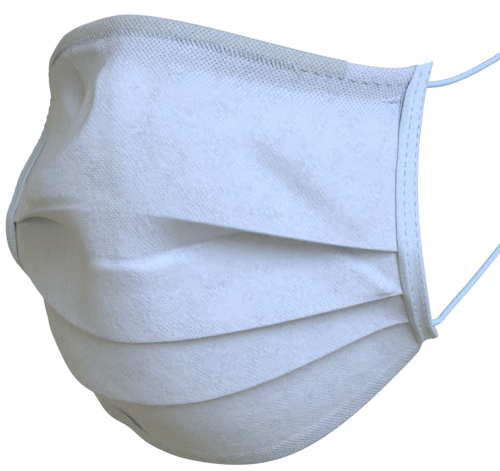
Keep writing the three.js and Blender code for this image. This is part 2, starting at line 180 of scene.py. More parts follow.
# Side bindings. front, back: how far outside and inside its line the two layers of the folded
# tape lie. inset: from the line to the inner edge. turn: depth of the fold at the outer edge.
# rim: how wide a part of the inner edge bends down to the cloth. above, below: how far the tape
# goes past the ends of its line. elastic: from the line to the sewn-in end of an ear loop.
# unfolded: width of the tape's map.
BINDING = {"width": 7.0, "front": 0.6, "back": 1.9, "inset": 0.3, "turn": 1.1, "rim": 1.7,
           "above": 1.3, "below": -7.4, "wall": 0.38, "elastic": 3.6, "unfolded": 16}
FOOT_TURN = 0.95  # share of the way that the foot turns from the third pleat to the bottom edge

# Ear loops. step: length of one ring of faces. The route is that of the left loop.
ELASTIC = {"diameter": 1.8, "length": 198.0, "sides": 12, "step": 0.6}
EAR_LOOP_ROUTE = (
    (62.9, 53.3, -15.1), (65, 57.2, -14.7), (67, 61.8, -13.7), (69, 68, -12), (71, 75, -9.8),
    (73, 82, -7.3), (75, 90, -4.7), (77, 98, -2.4), (79, 107, -1.2), (80.4, 115, -2.6),
    (81.2, 121, -7.5), (81.6, 124.2, -15), (81.7, 124.6, -24), (81.4, 122, -33),
    (80.6, 116.5, -41), (79.4, 109.5, -47.5), (77.4, 100, -53.5), (75.2, 91, -58.6),
    (73, 82.5, -63.6), (71, 75, -68.4), (69.2, 68.2, -72.6), (67.8, 62, -75.8),
    (67, 56.2, -78.3), (66.4, 50.6, -80.1),
)


def lerp(a, b, t):
    return a + (b - a) * t


def smoothstep(x, low, high):
    t = np.clip((x - low) / (high - low), 0, 1)
    return t * t * (3 - 2 * t)


def unit(v):
    return v / np.linalg.norm(v)


def mirrored(points):
    return points * np.array((-1.0, 1.0, 1.0))


class Curve:
    """A curve walked by its length. Each kind of curve gives point(t) for t from 0 to 1."""

    DIVISIONS = 200

    def measure(self):
        spots = np.array([self.point(t) for t in np.linspace(0, 1, self.DIVISIONS + 1)])
        steps = np.linalg.norm(np.diff(spots, axis=0), axis=1)
        self.walked = np.concatenate(([0], np.cumsum(steps)))
        self.length = self.walked[-1]

    def part(self, share):
        """The t at a share of the curve's length."""
        return np.interp(share * self.length, self.walked, np.linspace(0, 1, self.DIVISIONS + 1))

    def tangent(self, t):
        return unit(self.point(min(t + 1e-4, 1)) - self.point(max(t - 1e-4, 0)))

    def evenly(self, count):
        return np.array([self.point(self.part(s)) for s in np.linspace(0, 1, count)])


class EdgeCurve(Curve):
    """The cubic curve of an edge across half the mask."""

    def __init__(self, edge):
        flare = math.radians(edge.flare)
        arrival = unit(np.array((math.cos(flare), math.sin(flare), edge.rise)))
        ridge, side = np.array(edge.ridge, float), np.array(edge.side, float)
        straight = np.array((edge.straight, 0.0, 0.0))
        self.hull = (ridge, ridge + straight, side - arrival * edge.reach, side)
        self.measure()

    def point(self, t):
        a, b, c, d = self.hull
        s = 1 - t
        return a * s**3 + 3 * b * s * s * t + 3 * c * s * t * t + d * t**3


class SmoothLine(Curve):
    """A smooth curve through any number of points."""

    def __init__(self, points):
        self.points = np.array(points, float)
        self.measure()

    def point(self, t):
        points, last = self.points, len(self.points) - 1
        k = min(int(t * last), last - 1)
        w = t * last - k
        b, c = points[k], points[k + 1]
        a = points[k - 1] if k > 0 else 2 * b - c
        d = points[k + 2] if k + 2 <= last else 2 * c - b
        before, between, after = (np.linalg.norm(q - p) ** 0.5 for p, q in ((a, b), (b, c), (c, d)))
        leaving = ((b - a) / before - (c - a) / (before + between) + (c - b) / between) * between
        arriving = ((c - b) / between - (d - b) / (between + after) + (d - c) / after) * between
        w2, w3 = w * w, w**3
        return (
            b * (2 * w3 - 3 * w2 + 1) + leaving * (w3 - 2 * w2 + w)
            + c * (3 * w2 - 2 * w3) + arriving * (w3 - w2)
        )


CURVES = {name: EdgeCurve(edge) for name, edge in EDGES.items()}
HALF_WIDTH = CURVES["top"].length
Place = namedtuple("Place", "point along down inward")


def edge_place(name, across):
    inside = min(across, 1.0)
    curve, edge = CURVES[name], EDGES[name]
    t = curve.part(inside)
    along = curve.tangent(t)
    point = curve.point(t) + along * (across - inside) * curve.length
    level = unit(np.array((-along[1], along[0], 0.0)))
    fall = unit(np.cross(level, along))
    lean = math.radians(lerp(*edge.lean, across))
    down = fall * math.cos(lean) + level * math.sin(lean)
    inward = level * math.cos(lean) - fall * math.sin(lean)
    return Place(point, along, down, inward)


def heading(place, angle):
    return place.down * math.cos(angle) + place.inward * math.sin(angle)


def heading_of(place, direction):
    return math.atan2(direction @ place.inward, direction @ place.down)


def walk(path, place, start, end, length, steps):
    """Goes on from the last point, turning evenly from one heading to another."""
    for i in range(steps):
        angle = lerp(start, end, (i + 0.5) / steps)
        path.append(path[-1] + heading(place, angle) * length / steps)


def add_panel(path, panel, across):
    place = edge_place(panel.to, across)
    shift = -place.inward * lerp(*panel.swell, across) - place.along * panel.drawn_in * across**3
    start, end = path[-1], place.point
    for i in range(1, panel.steps + 1):
        t = i / panel.steps
        path.append(lerp(start, end, t) + shift * 4 * t * (1 - t))
    return heading_of(place, (end - start) - 4 * shift)


def add_pleat(path, pleat, arriving, following, across):
    place = edge_place(pleat.edge, across)
    shutting = across * smoothstep(across, 0, pleat.open)
    shut = math.radians(lerp(*pleat.turned, shutting))
    depth = lerp(*pleat.depth, shutting)
    fold = math.pi * lerp(*FOLD_RADIUS, across)
    back = arriving + shut
    walk(path, place, arriving, back, fold, TURN_STEPS)
    walk(path, place, back, back, depth - fold, FLAP_STEPS)
    chord = edge_place(following, across).point - path[-1]
    walk(path, place, back, heading_of(place, chord), fold, TURN_STEPS)


def whole_path(across):
    """One vertical section: inner top hem, top edge, panels and pleats, bottom edge, inner hem."""
    top = edge_place("top", across)
    path = []
    for i in range(HEM_STEPS[0] + 1):
        below = TOP_HEM["width"] * (1 - i / HEM_STEPS[0])
        gap = lerp(0.6, 2 * TOP_HEM["radius"], smoothstep(below, TOP_HEM["closed"], 4.4))
        path.append(top.point + top.inward * gap + top.down * below)
    walk(path, top, math.pi, 2 * math.pi, math.pi * TOP_HEM["radius"], TURN_STEPS)
    arriving = add_panel(path, PANELS[0], across)
    for i, pleat in enumerate(PLEATS):
        add_pleat(path, pleat, arriving, PANELS[i + 1].to, across)
        arriving = add_panel(path, PANELS[i + 1], across)
    bottom = edge_place("bottom", across)
    turned = arriving + math.pi
    curl = math.radians(lerp(*BOTTOM_HEM["curl"], across))
    walk(path, bottom, arriving, turned, math.pi * BOTTOM_HEM["radius"], TURN_STEPS)
    walk(path, bottom, turned, turned - curl, BOTTOM_HEM["width"], HEM_STEPS[1])
    return np.array(path)


PANEL_STARTS, PANEL_ENDS = [], []
for number, stretch in enumerate(PANELS):
    skipped = 2 * TURN_STEPS + FLAP_STEPS if number else HEM_STEPS[0] + TURN_STEPS
    PANEL_STARTS.append((PANEL_ENDS[-1] if number else 0) + skipped)
    PANEL_ENDS.append(PANEL_STARTS[-1] + stretch.steps)


def hollow_depth(across, below):
    total = 0.0
    for row in HOLLOWS:
        slant = math.radians(row.slant)
        a, b = across - row.across, below - row.below
        long_way = (a * math.cos(slant) + b * math.sin(slant)) / row.length
        short_way = (b * math.cos(slant) - a * math.sin(slant)) / row.height
        total = total + row.depth * np.exp(-(long_way**2 + short_way**2))
    return total


def section(signed):
    top = edge_place("top", abs(signed))
    path = whole_path(abs(signed))
    last = PANEL_ENDS[0] + 1
    below = np.maximum(0, top.point[2] - path[:last, 2])
    depth = hollow_depth(signed * HALF_WIDTH, below)
    path[:last] += top.inward * depth[:, None]
    if signed < 0:
        path = mirrored(path)
    steps = np.linalg.norm(np.diff(path, axis=0), axis=1)
    walked = np.concatenate(([0], np.cumsum(steps)))
    below = walked - walked[PANEL_STARTS[0]]
    for row in SHIFTS:
        along = (signed * HALF_WIDTH - row.across) / row.length
        over = (below - row.below) / row.height
        path = path + np.outer(np.exp(-(along**2 + over**2)), row.move)
    return path


# ---------------------------------------------------------------- bindings

BindingPlace = namedtuple("BindingPlace", "point away outward")

# Points of a tape's line on the top panel, and on the bottom panel the share down to the last
# point but one. The pleats and the bottom edge give the other points.
TOP_POINTS = 7
LAST_BEND = 0.8

# How far each tape is turned away from the face, in degrees, at the points of its line.
TAPE_TURN = {1: (0,) * 12, -1: (0, 6, 12, 16, 16, 14, 10, 4, 2, 0, 0, 0)}


def turned_out(way, angle):
    """A direction turned about the upright axis, to the front for a tape on its own side."""
    x, y, z = way
    return np.array((
        x * math.cos(angle) + y * math.sin(angle), y * math.cos(angle) - x * math.sin(angle), z
    ))


class BindingLine:
    """The line that a binding follows on the outside of the cloth, from its top to its foot."""

    def __init__(self, side, path):
        self.side = side
        shares = [k / TOP_POINTS for k in range(TOP_POINTS)]
        spots = [path[PANEL_STARTS[0] + round(PANELS[0].steps * share)] for share in shares]
        spots += [path[j] for j in PANEL_ENDS[:-1]]
        spots.append(path[PANEL_STARTS[3] + round(PANELS[3].steps * LAST_BEND)])
        spots.append(path[PANEL_ENDS[3]])
        way = {name: edge_place(name, 1).along for name in EDGES}
        if side < 0:
            way = {name: mirrored(v) for name, v in way.items()}
        ways = [lerp(way["top"], way["pleat_1"], share) for share in shares]
        ways += [way["pleat_1"], way["pleat_2"], way["pleat_3"]]
        ways.append(lerp(way["pleat_3"], way["bottom"], FOOT_TURN / 2))
        ways.append(lerp(way["pleat_3"], way["bottom"], FOOT_TURN))
        ways = [turned_out(way, side * math.radians(a)) for way, a in zip(ways, TAPE_TURN[side])]
        self.line, self.ways = SmoothLine(spots), SmoothLine(ways)
        self.length = self.line.length

    def at(self, down):
        """The place down millimetres along the line, which may lie a little past its ends."""
        inside = min(max(down, 0), self.length)
        t = self.line.part(inside / self.length)
        along = self.line.tangent(t)
        point = self.line.point(t) + along * (down - inside)
        away = unit(self.ways.point(t))
        return BindingPlace(point, away, unit(np.cross(along, away)) * self.side)


BINDING_LINES = {name: BindingLine(side, section(side)) for name, side in SIDES}


# ---------------------------------------------------------------- cloth of the body


def fold_height(row, across, below):
    """How far one small fold lifts each point of a panel."""
    line = SmoothLine(row.line).evenly(60)
    steps = np.diff(line, axis=0)
    lengths = np.linalg.norm(steps, axis=1)
    walked = np.concatenate(([0], np.cumsum(lengths)))
    spots = np.stack((across, below), axis=-1)
    nearest = np.full(across.shape, 1e9)
    side, share = np.zeros_like(nearest), np.zeros_like(nearest)
    for start, step, length, done in zip(line, steps, lengths, walked):
        offset = spots - start
        t = np.clip(offset @ step / length**2, 0, 1)
        away = np.linalg.norm(offset - t[..., None] * step, axis=-1)
        closer = away < nearest
        turn = step[0] * offset[..., 1] - step[1] * offset[..., 0]
        nearest = np.where(closer, away, nearest)
        side = np.where(closer, turn, side)
        share = np.where(closer, (done + t * length) / walked[-1], share)
    width = np.where(side * np.sign(line[-1, 0] - line[0, 0]) > 0, row.below, row.above)
    soft = np.exp(-((nearest / width) ** 2))
    flank = 1 - (np.sqrt(nearest**2 + CREST**2) - CREST) / width
    crease = (flank + np.sqrt(flank**2 + 0.02)) / 2
    profile = lerp(soft, crease, row.sharp)
    if row.fade[0]:
        profile = profile * smoothstep(share, -0.02, row.fade[0])
    if row.fade[1]:
        profile = profile * smoothstep(1 - share, -0.02, row.fade[1])
    return row.out * profile


def folds(panel, across, below):
    rows = [fold_height(row, across, below) for row in FOLDS if row.panel == panel]
    return sum(rows, np.zeros_like(below))


def waves(across, down):
    total = np.zeros_like(across)
    for size, height in WAVES:
        total += height * np.vectorize(
            lambda a, b: noise.noise(Vector((a / size, b / size, size)))
        )(across, down)
    return total


def pressed(signed):
    """One section, with the layers of its pleats drawn together as the tapes press them."""
    side = 1 if signed > 0 else -1
    path = section(signed)
    share = smoothstep(abs(signed), PRESS["from"], PRESS["to"])
    if not share:
        return path
    line = BindingLine(side, path)
    downs = np.linspace(-PRESS["margin"], line.length + PRESS["margin"], TAPE_PLACES)
    places = [line.at(down) for down in downs]
    spots, outward = (np.array([place[k] for place in places]) for k in (0, 2))
    near = np.argmin(np.linalg.norm(path[:, None] - spots[None], axis=2), axis=1)
    deep = np.maximum(0, np.sum((spots[near] - path) * outward[near], axis=1))
    lift = share * (deep - PRESS["depth"] * (1 - np.exp(-deep / PRESS["scale"])))
    return path + lift[:, None] * outward[near]


class Cloth:
    """Points of the body cloth, with their places along the cloth in both directions."""

    def __init__(self):
        signed = np.linspace(-REACH, REACH, COLUMNS + 1)
        points = np.array([pressed(s) for s in signed])
        steps = np.linalg.norm(np.diff(points, axis=1), axis=2)
        self.down = np.concatenate((np.zeros((len(signed), 1)), np.cumsum(steps, axis=1)), axis=1)
        self.across = np.repeat((signed * HALF_WIDTH)[:, None], points.shape[1], axis=1)
        self.below = self.down - self.down[:, [PANEL_STARTS[0]]]
        self.wire = (
            smoothstep(WIRE["half"] - np.abs(self.across), -0.5, 0.5)
            * smoothstep(self.below, WIRE["top"] - 2.2, WIRE["top"] - 1.6)
            * smoothstep(self.below, WIRE["foot"] + 0.3, WIRE["foot"] - 0.3)
        )
        moved = waves(self.across, self.down) * self.free() + WIRE["raised"] * self.wire
        left = self.down[:, [PANEL_ENDS[3]]] - self.down
        hem = BOTTOM_HEM["width"]
        moved += BOTTOM_HEM["raised"] * smoothstep(left, hem + 0.5, hem - 0.3)
        turned = slice(0, HEM_STEPS[0] + 1)
        moved[:, turned] -= folds(0, self.across[:, turned], -self.below[:, turned] - self.turn())
        for number, (start, end) in enumerate(zip(PANEL_STARTS, PANEL_ENDS)):
            rows = slice(start, end + 1)
            total = folds(number, self.across[:, rows], self.down[:, rows] - self.down[:, [start]])
            t = np.linspace(0, 1, end - start + 1)
            fade = 1 if number == 0 else smoothstep(t, 0, 0.08)
            moved[:, rows] += total * fade * smoothstep(t, 1, 0.94)
        self.points = points + self.outward(points) * moved[:, :, None]
        self.normals = self.outward(self.points)
        self.double = smoothstep(self.below, 19, 7)
        self.double[:, : HEM_STEPS[0]] = 1
        self.double = np.maximum(self.double, smoothstep(left, 7.0, 5.0))

    def turn(self):
        """Length of the cloth round the top edge."""
        return -self.below[:, [HEM_STEPS[0]]]

    def free(self):
        """0 where a pleat or a seam holds the cloth, 1 in the middle of a panel."""
        total = np.zeros_like(self.across)
        for start, end in zip(PANEL_STARTS, PANEL_ENDS):
            t = np.linspace(0, 1, end - start + 1)
            total[:, start : end + 1] = smoothstep(t, 0, 0.1) * smoothstep(t, 1, 0.85)
        return total * smoothstep(HALF_WIDTH - np.abs(self.across), 0, 6)

    @staticmethod
    def outward(points):
        normals = np.cross(np.gradient(points, axis=1), np.gradient(points, axis=0))
        return normals / np.linalg.norm(normals, axis=2)[:, :, None]

    def spot(self, across, down, lift=0.0):
        """A point on the cloth, down millimetres along it from the top edge, and lift above it."""
        column = (across / HALF_WIDTH / REACH + 1) / 2 * COLUMNS
        i = min(max(int(column), 0), COLUMNS - 1)
        w = column - i
        found = []
        for k in (i, i + 1):
            rows = np.arange(self.down.shape[1], dtype=float)
            row = np.interp(down, self.below[k], rows)
            j = min(int(row), len(rows) - 2)
            v = row - j
            point = lerp(self.points[k, j], self.points[k, j + 1], v)
            normal = lerp(self.normals[k, j], self.normals[k, j + 1], v)
            found.append((point, normal))
        point = lerp(found[0][0], found[1][0], w)
        normal = unit(lerp(found[0][1], found[1][1], w))
        return point + normal * (THICKNESS / 2 + lift)


CLOTH = Cloth()

# How far the front of the tape stands out at each distance from its inner edge: a rolled inner
# rim, a recess and a rolled outer rim, all of it stronger towards the foot.
TAPE_RELIEF = ((0, -0.25), (0.5, 0.05), (1.2, 0.35), (1.9, 0.2), (2.5, -0.18), (3.4, -0.2),
               (4.3, -0.12), (4.9, 0.2), (5.4, 0.1), (5.9, 0.3), (6.5, 0.1), (7, 0))
TAPE_STITCH = {"inner": 2.4, "away": 5.4, "pitch": 2.6, "length": 2.0, "radius": 0.15}
TAPE_STEPS = {"flat": 14, "turn": 8, "down": 190}
TAPE_FLAT = BINDING["width"] - BINDING["turn"] - BINDING["wall"] / 2
TAPE_SHARE = TAPE_STEPS["flat"] / (2 * TAPE_STEPS["flat"] + TAPE_STEPS["turn"])
TAPE_MIDDLE = (BINDING["front"] - BINDING["back"]) / 2
SUNK_REACH = 0.8  # how far along a tape the cloth under a place is looked for
SUNK_SMOOTHING = 5  # places that are averaged


def tape_relief(away, down, length):
    ridges = np.interp(away, *zip(*TAPE_RELIEF))
    strength = lerp(0.35, 1.0, float(smoothstep(down, 0.25 * length, 0.6 * length)))
    pucker = 0.05 * math.cos(2 * math.pi * down / TAPE_STITCH["pitch"])
    near_stitch = math.exp(-(((away - TAPE_STITCH["away"]) / 0.9) ** 2))
    rough = 0.07 * noise.noise(Vector((away / 2.2, down / 3.1, 4.0)))
    return ridges * strength + pucker * near_stitch + rough


def sunk(line):
    """How deep the cloth lies behind the line of a tape, at places along it."""
    cloth = CLOTH.points[round((line.side / REACH + 1) / 2 * COLUMNS)]
    downs = np.linspace(0, line.length, TAPE_PLACES)
    deep = []
    for place in (line.at(down) for down in downs):
        along = np.cross(place.outward, place.away)
        near = cloth[np.abs((cloth - place.point) @ along) < SUNK_REACH]
        deep.append(np.clip(-np.max((near - place.point) @ place.outward), 0, PRESS["depth"]))
    ends = SUNK_SMOOTHING // 2
    share = np.full(SUNK_SMOOTHING, 1 / SUNK_SMOOTHING)
    return downs, np.convolve(np.pad(deep, ends, mode="edge"), share, mode="valid")


SUNK = {side: sunk(BINDING_LINES[name]) for name, side in SIDES}


def tape_spot(line, around, down, lift=0.0):
    """A point of the tape's middle. around: 0 at the front inner edge, 1 at the back inner edge."""
    place = line.at(down)
    tall = (BINDING["front"] + BINDING["back"]) / 2
    wobble = 0.14 * noise.noise(Vector((down / 4.5, 7.0, line.side)))
    if around <= TAPE_SHARE:
        away = TAPE_FLAT * around / TAPE_SHARE
        rim = np.interp(down, *SUNK[line.side]) * smoothstep(away, BINDING["rim"], 0)
        out = BINDING["front"] + tape_relief(away, down, line.length) + lift - rim
        away += wobble * (1 - around / TAPE_SHARE)
    elif around >= 1 - TAPE_SHARE:
        away = TAPE_FLAT * (1 - around) / TAPE_SHARE
        out = -BINDING["back"] - 0.5 * tape_relief(away, down, line.length) - lift
    else:
        angle = math.pi * (around - TAPE_SHARE) / (1 - 2 * TAPE_SHARE)
        away = TAPE_FLAT + (BINDING["turn"] + lift) * math.sin(angle)
        edge_relief = tape_relief(TAPE_FLAT, down, line.length) * math.cos(angle) ** 2
        out = TAPE_MIDDLE + (tall + lift) * math.cos(angle) + edge_relief * math.cos(angle)
    return place.point + place.away * (BINDING["inset"] + away) + place.outward * out


def beside(line, spot):
    """How far down its line a tape passes nearest to a spot at its outer edge."""
    downs = np.linspace(0, line.length, 200)
    places = [line.at(down) for down in downs]
    gaps = [np.linalg.norm(p.point + p.away * BINDING["width"] - spot) for p in places]
    return downs[int(np.argmin(gaps))]


def sewn_end(line, spot):
    """Where the end of an elastic lies between the two layers of the tape."""
    place = line.at(beside(line, spot))
    return tuple(place.point + place.away * BINDING["elastic"] + place.outward * TAPE_MIDDLE)


# ---------------------------------------------------------------- stitches and fibres

# Stitches of the top hem: dashes beside the tapes, slanted strokes over the nose and plain ones
# on the inside. from, to: how far from the centre line a kind is used. TACK: over an ear loop's
# end. FRAY: fibres at the cut top of a tape.
DASHES = {"from": 47, "to": 83, "pitch": 3.8, "length": 2.9, "slant": 0.25, "radius": 0.17}
STROKES = {"from": 0, "to": 47, "pitch": 1.25, "length": 1.7, "slant": 1.3, "radius": 0.15}
HEM_BACK = {"pitch": 3.4, "half": 1.2, "radius": 0.15}
TACK = {"stitches": 6, "away": 3.2, "height": 3.0, "width": 2.4, "radius": 0.16}
FRAY = {"count": 26, "inside": 0.4, "length": (0.2, 1.1), "radius": 0.045}


def arch(shoulder, crown):
    """Places along a stitch, from -1 to 1, and how far it stands out there."""
    return (-1, -0.15), (-0.5, shoulder), (0, crown), (0.5, shoulder), (1, -0.15)


def stitch(bm, spots, radius):
    """One thread between two holes, with its ends sunk into the cloth."""
    add_tube(bm, spots, radius, sides=6, pointed=True)


def hem_row(bm, rng):
    """The seam of the top hem, outside and inside."""
    for kind in (DASHES, STROKES):
        for side in (1, -1):
            across = kind["from"] + kind["pitch"] * 0.5
            while across < kind["to"]:
                half = kind["length"] / 2 * rng.uniform(0.85, 1.1)
                rise = kind["slant"] * rng.uniform(0.8, 1.2)
                faint = 0.0 if across > 14 else -0.08
                spots = [
                    CLOTH.spot(side * (across + half * k), TOP_HEM["stitch"] + rise * k * side,
                               lift + faint + rng.uniform(-0.02, 0.02))
                    for k, lift in arch(0.1, 0.16)
                ]
                stitch(bm, spots, kind["radius"])
                across += kind["pitch"] * rng.uniform(0.92, 1.08)
    across = -DASHES["to"]
    behind = -math.pi * TOP_HEM["radius"] - TOP_HEM["stitch"]
    while across < DASHES["to"]:
        spots = [
            CLOTH.spot(across + HEM_BACK["half"] * k, behind, lift) for k, lift in arch(0.1, 0.15)
        ]
        stitch(bm, spots, HEM_BACK["radius"])
        across += HEM_BACK["pitch"]


def tape_row(bm, line, around, rng):
    """One seam along a tape. around: where it lies, as in tape_spot."""
    down = 3.0 - BINDING["above"]
    while down < line.length + BINDING["below"] - 2.5:
        half = TAPE_STITCH["length"] / 2 * rng.uniform(0.85, 1.1)
        spots = [
            tape_spot(line, around, down + half * k, BINDING["wall"] / 2 + lift)
            for k, lift in arch(0.08, 0.12)
        ]
        stitch(bm, spots, TAPE_STITCH["radius"])
        down += TAPE_STITCH["pitch"] * rng.uniform(0.94, 1.06)


def tack(bm, line, spot):
    """A few stitches close together that hold an elastic on the back of the tape."""
    middle = beside(line, spot)
    for i in range(TACK["stitches"]):
        away = TACK["away"] + TACK["width"] * i / (TACK["stitches"] - 1)
        around = 1 - away / TAPE_FLAT * TAPE_SHARE
        spots = [
            tape_spot(line, around, middle + TACK["height"] / 2 * k, BINDING["wall"] / 2 + lift)
            for k, lift in arch(0.12, 0.18)
        ]
        stitch(bm, spots, TACK["radius"])


FIBRE = {"length": (1.5, 5.0), "radius": 0.028, "lift": (0.05, 0.35), "bend": 1.6, "steps": 6}
CURL = {"across": 58, "below": 26.5, "length": 5.0, "height": 3.0, "radius": 0.07}


def loose_fibres(bm, count, rng):
    """Fibres that stand off the outside of the cloth, and one long one that lies in a curl."""
    for _ in range(count):
        number = rng.choices(range(4), (50, 22, 20, 30))[0]
        across = rng.uniform(-0.97, 0.97) * HALF_WIDTH
        start, end = PANEL_STARTS[number], PANEL_ENDS[number]
        column = round((across / HALF_WIDTH / REACH + 1) / 2 * COLUMNS)
        top, bottom = CLOTH.below[column, start], CLOTH.below[column, end]
        below = lerp(top, bottom, rng.uniform(0.03, 0.97))
        length, angle = rng.uniform(*FIBRE["length"]), rng.uniform(0, 2 * math.pi)
        bend, lift = rng.uniform(-1, 1) * FIBRE["bend"], rng.uniform(*FIBRE["lift"])
        spots = []
        for k in range(FIBRE["steps"] + 1):
            t = k / FIBRE["steps"]
            turned = angle + bend * t
            a = across + length * (t - 0.5) * math.cos(turned)
            b = min(max(below + length * (t - 0.5) * math.sin(turned), top), bottom)
            spots.append(CLOTH.spot(a, b, -0.05 + lift * math.sin(math.pi * t)))
        add_tube(bm, spots, FIBRE["radius"], sides=3)
    spots = []
    for k in range(41):
        t = k / 40
        turned = 1.6 * math.pi * t
        a = CURL["across"] + CURL["length"] * (0.9 * math.cos(turned + 2.4) + 0.5 * t)
        b = CURL["below"] + CURL["height"] * math.sin(turned + 2.4) + 0.4 * math.sin(9 * t)
        spots.append(CLOTH.spot(a, b, 0.04))
    add_tube(bm, spots, CURL["radius"], sides=5)


def frayed_ends(bm, line, rng):
    """Short fibres along the cut top of a tape."""
    top = -BINDING["above"]
    for _ in range(FRAY["count"]):
        around = rng.uniform(0, 1)
        first = tape_spot(line, around, top + FRAY["inside"])
        end = top - rng.uniform(*FRAY["length"])
        last = tape_spot(line, around, end, rng.uniform(-0.2, 0.3))
        last = last + np.array([rng.uniform(-0.5, 0.5) for _ in range(3)])
        middle = lerp(first, last, 0.5) + np.array([rng.uniform(-0.15, 0.15) for _ in range(3)])
        add_tube(bm, [first, middle, last], FRAY["radius"], sides=4, pointed=True)


# ---------------------------------------------------------------- meshes


def bent_grid(points, across, down, attributes=None, outward=True):
    """A grid whose vertices are moved to points[i][j], with its UV map in tenths of a metre."""
    columns, rows = points.shape[0] - 1, points.shape[1] - 1
    bm = bmesh.new()
    bmesh.ops.create_grid(bm, x_segments=columns, y_segments=rows, size=0.5)
    layers = {key: bm.verts.layers.float.new(key) for key in attributes or {}}
    places = {v: (round((v.co.x + 0.5) * columns), round((v.co.y + 0.5) * rows)) for v in bm.verts}
    uv_layer = bm.loops.layers.uv.new("cloth")
    for face in bm.faces:
        face.smooth = True
        for loop in face.loops:
            i, j = places[loop.vert]
            loop[uv_layer].uv = (across[i, j] / 100, down[i, j] / 100)
    for vert, (i, j) in places.items():
        vert.co = points[i, j] * MM
        for key, layer in layers.items():
            vert[layer] = attributes[key][i, j]
    if outward:
        bmesh.ops.reverse_faces(bm, faces=bm.faces)
    return bm


def add_tube(bm, route, radius, sides=6, pointed=False):
    """A closed tube along a route, in millimetres, bent from a grid."""
    route = np.array(route, float)
    steps = len(route) - 1
    made = bmesh.ops.create_grid(bm, x_segments=sides, y_segments=steps, size=0.5)["verts"]
    tangents = np.gradient(route, axis=0)
    walked = np.concatenate(([0], np.cumsum(np.linalg.norm(np.diff(route, axis=0), axis=1))))
    frames = []
    side = None
    for tangent in tangents:
        tangent = unit(tangent)
        if side is None:
            side = np.cross(tangent, (0.0, 0.0, 1.0))
            if np.linalg.norm(side) < 0.1:
                side = np.cross(tangent, (1.0, 0.0, 0.0))
        side = unit(side - tangent * (side @ tangent))
        frames.append((side, np.cross(tangent, side)))
    uv_layer = bm.loops.layers.uv.verify()
    places = {v: (round((v.co.x + 0.5) * sides), round((v.co.y + 0.5) * steps)) for v in made}
    for face in {f for v in made for f in v.link_faces}:
        face.smooth = True
        for loop in face.loops:
            i, j = places[loop.vert]
            loop[uv_layer].uv = (i / sides, walked[j] / 100)
    for vert, (i, j) in places.items():
        angle = 2 * math.pi * i / sides
        first, second = frames[j]
        thick = radius
        if pointed:
            thick = radius * (0.35 + 0.65 * math.sin(math.pi * (0.08 + 0.84 * j / steps)))
        spot = route[j] + (first * math.cos(angle) + second * math.sin(angle)) * thick
        vert.co = spot * MM
    ends = [[v for v in made if places[v][1] == j and places[v][0] < sides] for j in (0, steps)]
    seam = [v for v in made if places[v][0] in (0, sides)]
    bmesh.ops.remove_doubles(bm, verts=seam, dist=1e-7)
    for ring in ends:
        around = {e for v in ring if v.is_valid for e in v.link_edges if e.is_boundary}
        bmesh.ops.holes_fill(bm, edges=list(around), sides=sides)


def new_threads():
    """An empty mesh with a UV map, for tubes."""
    bm = bmesh.new()
    bm.loops.layers.uv.new("cloth")
    return bm


def piece(name, bm, material, replaces=(), recalculate=False):
    """Makes an object of a finished mesh, which rides on the mask."""
    if recalculate:
        bmesh.ops.recalc_face_normals(bm, faces=bm.faces)
    bm.normal_update()
    mesh = bpy.data.meshes.new(name)
    bm.to_mesh(mesh)
    bm.free()
    obj = bpy.data.objects.new(name, mesh)
    bpy.context.scene.collection.objects.link(obj)
    mesh.materials.append(material)
    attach(obj, BODY)
    if replaces:
        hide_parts(*replaces)
    return obj


def wall(obj, thickness):
    """Gives a sheet its thickness, half of it on either side."""
    shell = obj.modifiers.new("Wall", "SOLIDIFY")
    shell.thickness = thickness * MM
    shell.offset = 0.0
    shell.use_even_offset = False


# ---------------------------------------------------------------- materials


